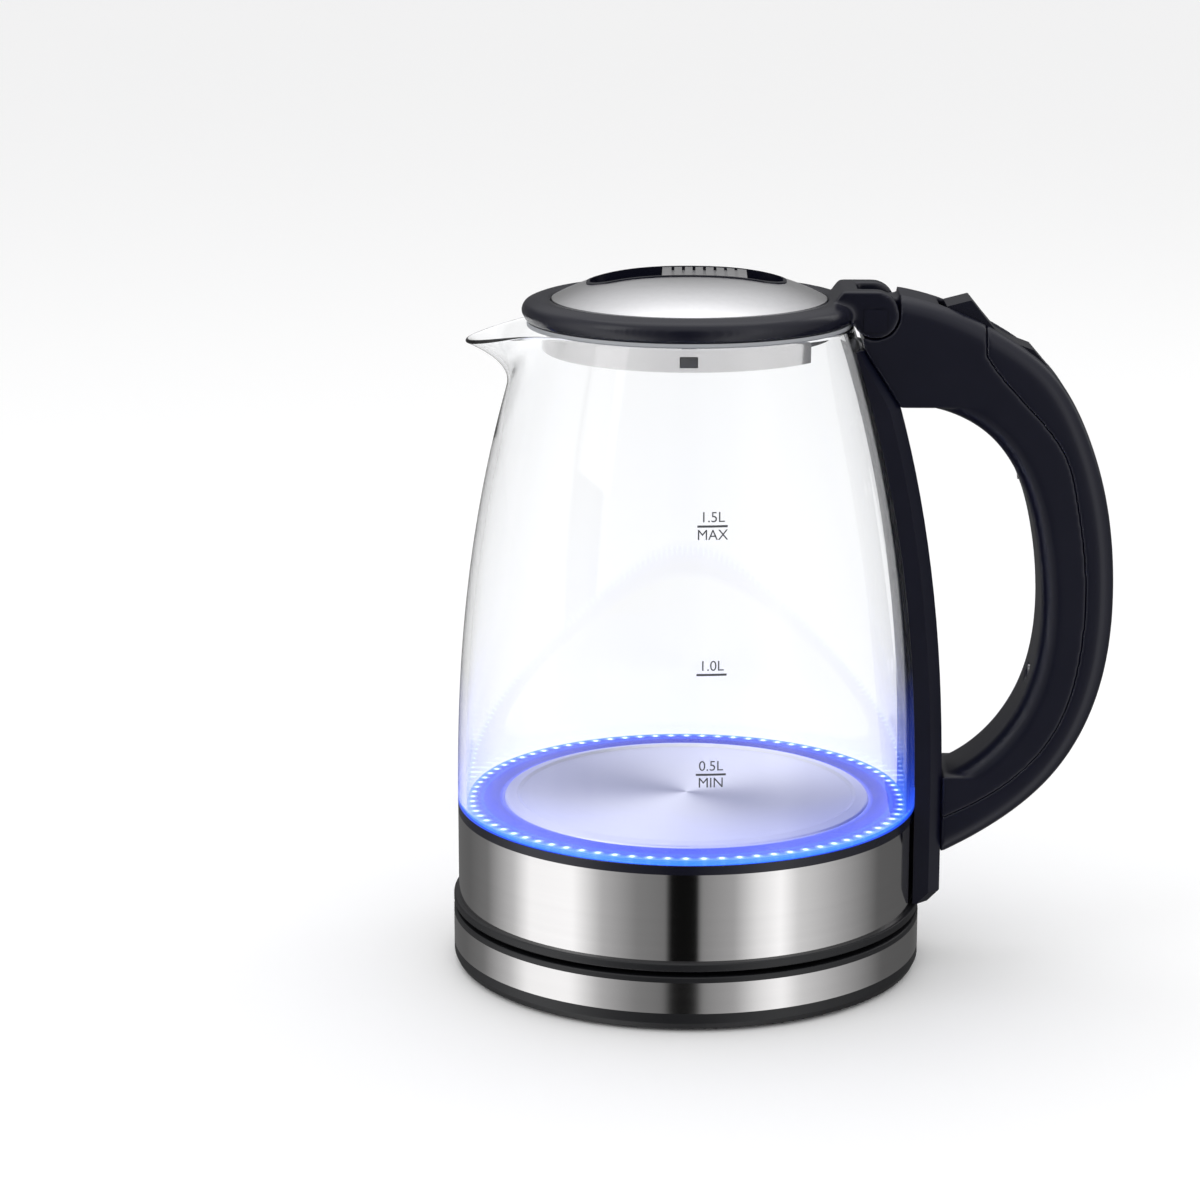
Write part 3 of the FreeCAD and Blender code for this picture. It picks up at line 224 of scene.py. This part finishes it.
def turned_disc_painted_sheen(name):
    """Steel disc brushed round its middle, with light and dark fans painted into its colour as painted highlight and
    painted shade in place of its reflection.
    """
    n = Nodes(name)
    x, y, z = n.axes()
    r = n.radius()
    together = n.tree.nodes.new("ShaderNodeCombineXYZ")
    n.link(r, together.inputs[0])
    lines = n.noise(700.0, 2.0, (1, 1, 1), together.outputs[0])
    turn = n.math("ARCTAN2", y, x)
    # Painted reflection: two light and two dark fans round the middle, painted into the base colour by angle.
    painted_sheen_fan = n.math("COSINE", n.math("MULTIPLY_ADD", turn, 2.0, -2.4))
    painted_sheen_fan = n.math("MULTIPLY_ADD", painted_sheen_fan, 0.5, 0.5)
    # The dark tone is painted shade and the pale tone is painted highlight; the brush lines within each are the
    # steel's own grain.
    dark = n.mix(lines, rgb(0.26, 0.26, 0.27), rgb(0.33, 0.33, 0.34))
    painted_highlight_tone = n.mix(lines, rgb(0.70, 0.70, 0.71), rgb(0.82, 0.82, 0.83))
    n.surface(Base_Color=n.mix(painted_sheen_fan, dark, painted_highlight_tone), Metallic=1.0, Roughness=n.math("MULTIPLY_ADD", lines, 0.06, 0.3),
              Normal=n.bump(lines, 0.04, 0.0002))
    return n.material


def clear_glass_painted_glow(name, painted_glow_top):
    """Clear glass with a painted blue glow near its lower edge, in place of the lamps' blue light carried up the
    glass.
    """
    n = Nodes(name)
    x, y, z = n.axes()
    # Painted light: the glass is no lamp, yet it glows blue, strongest at its lower edge and fading out higher up the
    # wall.
    painted_glow_fade = n.ramp(z, [(0.0545, 0.60), (0.058, 0.36), (0.064, 0.20), (0.075, 0.09), (painted_glow_top, 0.0)], 0.05, 0.12)
    shader = n.surface(Base_Color=rgb(0.985, 0.99, 0.995), Roughness=0.0, IOR=1.46, Transmission_Weight=1.0)
    painted_glow = n.tree.nodes.new("ShaderNodeEmission")
    painted_glow.inputs["Color"].default_value = rgb(0.02, 0.09, 1.0)
    n.link(n.math("MULTIPLY", painted_glow_fade, 0.9), painted_glow.inputs["Strength"])
    together = n.tree.nodes.new("ShaderNodeAddShader")
    n.link(shader.outputs[0], together.inputs[0])
    n.link(painted_glow.outputs[0], together.inputs[1])
    see = n.tree.nodes.new("ShaderNodeBsdfTransparent")
    see.inputs[0].default_value = rgb(0.93, 0.95, 0.97)
    path = n.tree.nodes.new("ShaderNodeLightPath")
    choose = n.tree.nodes.new("ShaderNodeMixShader")
    n.link(path.outputs["Is Shadow Ray"], choose.inputs[0])
    n.link(together.outputs[0], choose.inputs[1])
    n.link(see.outputs[0], choose.inputs[2])
    n.link(choose.outputs[0], n.out.inputs[0])
    return n.material


def ring_painted_glow(name):
    """Clear ring with a painted blue glow in place of light from below: pale at the plate, deep blue, then a bright
    line of lamps.
    """
    n = Nodes(name)
    x, y, z = n.axes()
    r = n.radius()
    # Painted light: the ring's emission colour runs in bands by radius, with the lighter bands as painted highlights.
    colour = n.ramp(r, [(0.0625, (0.20, 0.22, 0.75)), (0.0634, (0.03, 0.05, 0.60)), (0.0642, (0.001, 0.004, 0.30)),
                        (0.0672, (0.001, 0.008, 0.42)), (0.0690, (0.001, 0.012, 0.55)), (0.0700, (0.01, 0.09, 0.85)),
                        (0.0712, (0.003, 0.03, 0.75)), (0.0725, (0.004, 0.05, 0.85)),
                        (0.0750, (0.05, 0.28, 0.95))], 0.062, 0.076)
    turn = n.math("MULTIPLY", n.math("ARCTAN2", y, x), led_count / (2 * math.pi))
    along = n.math("MULTIPLY", n.math("SUBTRACT", n.math("FRACT", n.math("ADD", turn, 100.5)), 0.5),
                   2 * math.pi * led_circle_r / led_count)
    across = n.math("SUBTRACT", r, led_circle_r)
    gap = n.math("SQRT", n.math("ADD", n.math("MULTIPLY", along, along), n.math("MULTIPLY", across, across)))
    dots = n.ramp(gap, [(0.0, 1.0), (0.0005, 1.0), (0.0011, 0.30), (0.0022, 0.0)], 0.0, 0.004)
    colour = n.mix(dots, colour, rgb(0.62, 0.85, 1.0))
    # Painted glow over the whole ring, brighter at the lamp dots.
    strength = n.math("MULTIPLY_ADD", dots, 1.6, 0.9)
    shader = n.surface(Base_Color=rgb(0.004, 0.01, 0.12), Roughness=0.2, Specular_IOR_Level=0.1, Emission_Color=colour)
    n.link(strength, shader.inputs["Emission Strength"])
    return n.material


def lamps(name):
    n = Nodes(name)
    n.surface(Base_Color=rgb(0.5, 0.6, 0.8), Roughness=n.math("MULTIPLY_ADD", n.noise(300.0), 0.1, 0.3),
              Emission_Color=rgb(0.3, 0.6, 1.0), Emission_Strength=2.0)
    return n.material


looks["plate_steel"] = turned_disc_painted_sheen("plate_steel")
looks["glass"] = clear_glass_painted_glow("glass", 0.105)
looks["clear_plastic"] = ring_painted_glow("clear_plastic")
looks["led"] = lamps("led")

record = frame["record"]
slot_of = {row["node"]: row["material_slot"] for row in record["subparts"]}


def smooth(mesh, degrees=32.0):
    for face in mesh.polygons:
        face.use_smooth = True
    work = bmesh.new()
    work.from_mesh(mesh)
    for edge in work.edges:
        if len(edge.link_faces) == 2:
            edge.smooth = edge.calc_face_angle(0.0) < math.radians(degrees)
    work.to_mesh(mesh)
    work.free()


for name, node in nodes.items():
    node.data.materials.clear()
    node.data.materials.append(looks[slot_of[name]])
    smooth(node.data)

# The pad behind the glass is seen as the strap's dark back.
nodes["strap_pad"].data.materials[0] = looks["rubber"]


def soften(name, voxel, rounds):
    """Rounds the edges of a moulding without moving it."""
    remesh = nodes[name].modifiers.new("even", "REMESH")
    remesh.mode = "VOXEL"
    remesh.voxel_size = voxel
    remesh.use_smooth_shade = True
    even = nodes[name].modifiers.new("round", "SMOOTH")
    even.factor = 0.5
    even.iterations = rounds


soften("handle_body", 0.0007, 3)
soften("handle_cover", 0.0007, 3)
soften("lid_ring", 0.0007, 6)


def piece(name, vertices, faces, look, body):
    mesh = bpy.data.meshes.new(name)
    mesh.from_pydata([tuple(v) for v in vertices], [], faces)
    mesh.validate()
    obj = bpy.data.objects.new(name, mesh)
    bpy.context.scene.collection.objects.link(obj)
    mesh.materials.append(looks[look])
    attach(obj, body)
    return obj


def outward(obj):
    work = bmesh.new()
    work.from_mesh(obj.data)
    bmesh.ops.recalc_face_normals(work, faces=work.faces)
    work.to_mesh(obj.data)
    work.free()


# ---- glass ---------------------------------------------------------------------------------

def spout_share(turn, width):
    off = abs(math.atan2(math.sin(turn - math.pi), math.cos(turn - math.pi)))
    return math.exp(-(off / width) ** 2.0)


def glass_point(turn, level):
    """Outer surface of the glass: level runs from its lower edge to its rim."""
    rim = glass_rim_z - (glass_rim_z - spout_tip_z) * spout_share(turn, 0.40)
    z = glass_lo_z + (rim - glass_lo_z) * level
    rise = max(0.0, (z - spout_root_z) / (rim - spout_root_z))
    out = (spout_tip_r - glass_r(spout_tip_z)) * rise ** 2.3 * spout_share(turn, 0.37)
    r = glass_r(z) + out
    return Vector((r * math.cos(turn), r * math.sin(turn), z))


def glass_frame(turn, level):
    d = 1e-3
    along = (glass_point(turn + d, level) - glass_point(turn - d, level)).normalized()
    up = (glass_point(turn, level) - glass_point(turn, level - d)).normalized()
    return glass_point(turn, level), along.cross(up).normalized(), up


def wall_at(turn, level):
    """Wall thickness: the spout's lip is drawn thinner."""
    return glass_wall * (1 - 0.55 * spout_share(turn, 0.45) * max(0.0, (level - 0.8) / 0.2))


def make_glass():
    turns, levels, arc = 360, 120, 10
    stops = [1 - (1 - i / levels) ** 1.35 for i in range(levels + 1)]
    rows = []
    for level in stops:
        rows.append([glass_frame(2 * math.pi * k / turns, max(level, 1e-3))[0] for k in range(turns)])
    for step in range(1, arc):
        angle = math.pi * step / arc
        ring = []
        for k in range(turns):
            point, normal, up = glass_frame(2 * math.pi * k / turns, 1.0)
            half = wall_at(2 * math.pi * k / turns, 1.0) / 2
            ring.append(point - normal * (half - half * math.cos(angle)) + up * half * 0.9 * math.sin(angle))
        rows.append(ring)
    for level in reversed(stops):
        ring = []
        for k in range(turns):
            point, normal, up = glass_frame(2 * math.pi * k / turns, max(level, 1e-3))
            inner = point - normal * wall_at(2 * math.pi * k / turns, level)
            inner.z = max(inner.z, glass_lo_z)
            ring.append(inner)
        rows.append(ring)
    vertices = [v for row in rows for v in row]
    faces = []
    for j in range(len(rows)):
        after = (j + 1) % len(rows)
        for k in range(turns):
            n = (k + 1) % turns
            faces.append((j * turns + k, j * turns + n, after * turns + n, after * turns + k))
    obj = piece("jug_glass", vertices, faces, "glass", "jug")
    outward(obj)
    smooth(obj.data, 179)
    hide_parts("glass_body")
    return obj


make_glass()


# ---- level marks ---------------------------------------------------------------------------

ink = Nodes("ink")
ink.surface(Base_Color=rgb(0.06, 0.062, 0.07), Roughness=ink.math("MULTIPLY_ADD", ink.noise(400.0), 0.1, 0.45))
looks["ink"] = ink.material


def on_glass(x, z, lift=0.00012):
    """Point just outside the front of the glass."""
    r = glass_r(z) + lift
    return Vector((x, -math.sqrt(r * r - x * x), z))


def mark_text(name, words, x, z, size):
    curve = bpy.data.curves.new(name, "FONT")
    curve.body = words
    curve.size = size
    curve.align_x = "CENTER"
    curve.align_y = "CENTER"
    obj = bpy.data.objects.new(name, curve)
    bpy.context.scene.collection.objects.link(obj)
    bpy.context.view_layer.update()
    mesh = bpy.data.meshes.new_from_object(obj.evaluated_get(bpy.context.evaluated_depsgraph_get()))
    bpy.data.objects.remove(obj)
    for v in mesh.vertices:
        v.co = on_glass(x + v.co.x, z + v.co.y)
    obj = bpy.data.objects.new(name, mesh)
    bpy.context.scene.collection.objects.link(obj)
    mesh.materials.clear()
    mesh.materials.append(looks["ink"])
    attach(obj, "jug")


def mark_line(name, x, z, half, thick=0.00035):
    count = 12
    vertices, faces = [], []
    for i in range(count + 1):
        at = x - half + 2 * half * i / count
        vertices += [on_glass(at, z - thick), on_glass(at, z + thick)]
    for i in range(count):
        faces.append((2 * i, 2 * i + 2, 2 * i + 3, 2 * i + 1))
    mesh = bpy.data.meshes.new(name)
    mesh.from_pydata([tuple(v) for v in vertices], [], faces)
    mesh.materials.append(looks["ink"])
    obj = bpy.data.objects.new(name, mesh)
    bpy.context.scene.collection.objects.link(obj)
    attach(obj, "jug")


mark_x = 0.0078
for label, words, line_z, text_z in (("max", "1.5L", 0.1655, 0.1682), ("mid", "1.0L", 0.1188, 0.1215),
                                     ("min", "0.5L", 0.0865, 0.0892)):
    mark_line("mark_line_" + label, mark_x, line_z, 0.0048)
    mark_text("mark_litres_" + label, words, mark_x, text_z, 0.0046)
mark_text("mark_word_max", "MAX", mark_x, 0.1627, 0.0046)
mark_text("mark_word_min", "MIN", mark_x, 0.0837, 0.0046)


# ---- cord ----------------------------------------------------------------------------------

def cord_points():
    """Centreline: out of the base, round the coil, and on to the plug."""
    points = [Vector(p) for p in exit_run]
    start, turns_deg, step = -90.0, -(3 * 360.0 + 230.0), 20.0
    steps = int(abs(turns_deg) / step)
    levels = [(0.035, 0.003), (0.029, 0.003), (0.029, 0.0092), (0.035, 0.0092)]
    for i in range(steps + 1):
        done = abs(turns_deg) * i / steps
        lap = done / 360.0
        k = min(3, int(lap))
        frac = lap - k
        blend = max(0.0, (frac - 0.78) / 0.22)
        blend = blend * blend * (3 - 2 * blend)
        after = levels[min(3, k + 1)]
        r = levels[k][0] + (after[0] - levels[k][0]) * blend
        z = levels[k][1] + (after[1] - levels[k][1]) * blend
        angle = math.radians(start + math.copysign(done, turns_deg))
        points.append(Vector((coil_centre[0] + r * math.cos(angle), coil_centre[1] + r * math.sin(angle), z)))
    return points + [Vector(p) for p in plug_run]


def make_cord():
    curve = bpy.data.curves.new("cord", "CURVE")
    curve.dimensions = "3D"
    curve.bevel_depth = 0.003
    curve.bevel_resolution = 6
    curve.resolution_u = 6
    curve.use_fill_caps = True
    line = curve.splines.new("NURBS")
    points = cord_points()
    line.points.add(len(points) - 1)
    for spot, point in zip(line.points, points):
        spot.co = (point.x, point.y, point.z, 1.0)
    line.order_u = 3
    line.use_endpoint_u = True
    obj = bpy.data.objects.new("cord", curve)
    bpy.context.scene.collection.objects.link(obj)
    curve.materials.append(looks["cable"])
    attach(obj, "power_base")
    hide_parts("power_cord", "power_cord_end", "power_cord_coil")
    total = sum((b - a).length for a, b in zip(points, points[1:]))
    print("cord length by points", round(total, 4))


make_cord()


# ---- stage and light -----------------------------------------------------------------------

floor_look = Nodes("floor")
floor_look.surface(Base_Color=rgb(0.97, 0.97, 0.972), Roughness=0.6)
floor_mesh = bpy.data.meshes.new("floor")
floor_mesh.from_pydata([(-6, -6, 0), (6, -6, 0), (6, 6, 0), (-6, 6, 0)], [], [(0, 1, 2, 3)])
floor_mesh.materials.append(floor_look.material)
floor = bpy.data.objects.new("floor", floor_mesh)
bpy.context.scene.collection.objects.link(floor)
floor.visible_glossy = False


def lamp(name, place, target, width, height, watts, colour=(1, 1, 1)):
    data = bpy.data.lights.new(name, "AREA")
    data.shape = "RECTANGLE"
    data.size, data.size_y = width, height
    data.energy = watts
    data.color = colour
    obj = bpy.data.objects.new(name, data)
    bpy.context.scene.collection.objects.link(obj)
    obj.location = place
    obj.rotation_euler = (Vector(target) - Vector(place)).to_track_quat("-Z", "Y").to_euler()
    obj.visible_camera = False
    return obj


lamp("key", (-1.5, -1.0, 1.1), (0, 0, 0.12), 0.8, 1.2, 3)
lamp("rim", (1.4, 0.9, 0.9), (0, 0, 0.15), 0.5, 1.4, 2)
lamp("top", (0.0, 0.2, 1.6), (0, 0, 0.1), 1.6, 1.2, 4)

world = bpy.data.worlds.new("studio")
bpy.context.scene.world = world
world.use_nodes = True
tree = world.node_tree
tree.nodes.clear()


def sky(kind, *values, **settings):
    node = tree.nodes.new(kind)
    for key, value in settings.items():
        setattr(node, key, value)
    for socket, value in zip(node.inputs, values):
        if isinstance(value, bpy.types.NodeSocket):
            tree.links.new(value, socket)
        elif value is not None:
            socket.default_value = value
    return node.outputs


axes = sky("ShaderNodeSeparateXYZ", sky("ShaderNodeTexCoord")["Generated"])
turn = sky("ShaderNodeMath", axes[0], sky("ShaderNodeMath", axes[1], -1.0, operation="MULTIPLY")[0],
           operation="ARCTAN2")[0]
degrees = sky("ShaderNodeMath", turn, 180 / math.pi, operation="MULTIPLY")[0]
share = sky("ShaderNodeMapRange", degrees, -180.0, 180.0, 0.0, 1.0)[0]
strips = tree.nodes.new("ShaderNodeValToRGB")
tree.links.new(share, strips.inputs[0])
# Brightness round the kettle, in degrees from the front: pale sets at both sides, a dark flag in front.
levels = [(-180, 0.10), (-140, 0.10), (-118, 0.16), (-96, 0.50), (-84, 0.95), (-58, 1.0), (-42, 0.42), (-24, 0.20),
          (-9.5, 0.16), (-8.0, 0.004), (6.0, 0.004), (7.5, 0.22), (24, 0.34), (36, 0.75), (48, 1.0), (58, 0.62),
          (84, 0.34), (112, 0.10), (150, 0.08), (180, 0.10)]
points = strips.color_ramp.elements
while len(points) < len(levels):
    points.new(0.5)
for point, (at, level) in zip(points, levels):
    point.position = (at + 180) / 360
    point.color = (level, level, level, 1.0)
high = sky("ShaderNodeMapRange", axes[2], 0.25, 0.8, 0.0, 1.0)[0]
blend = tree.nodes.new("ShaderNodeMix")
blend.data_type = "RGBA"
tree.links.new(high, blend.inputs[0])
tree.links.new(strips.outputs[0], blend.inputs[6])
blend.inputs[7].default_value = (0.66, 0.66, 0.67, 1.0)
around = sky("ShaderNodeBackground", blend.outputs[2], 1.45)[0]
soft = sky("ShaderNodeBackground", (1.0, 1.0, 1.0, 1.0), 0.98)[0]
seen = sky("ShaderNodeBackground", (1.0, 1.0, 1.0, 1.0), 1.0)[0]
path = sky("ShaderNodeLightPath")
either = sky("ShaderNodeMath", path["Is Camera Ray"], path["Is Transmission Ray"], operation="MAXIMUM")[0]
shine = sky("ShaderNodeMixShader", path["Is Glossy Ray"], soft, around)[0]
both = sky("ShaderNodeMixShader", either, shine, seen)[0]
sky("ShaderNodeOutputWorld", both)
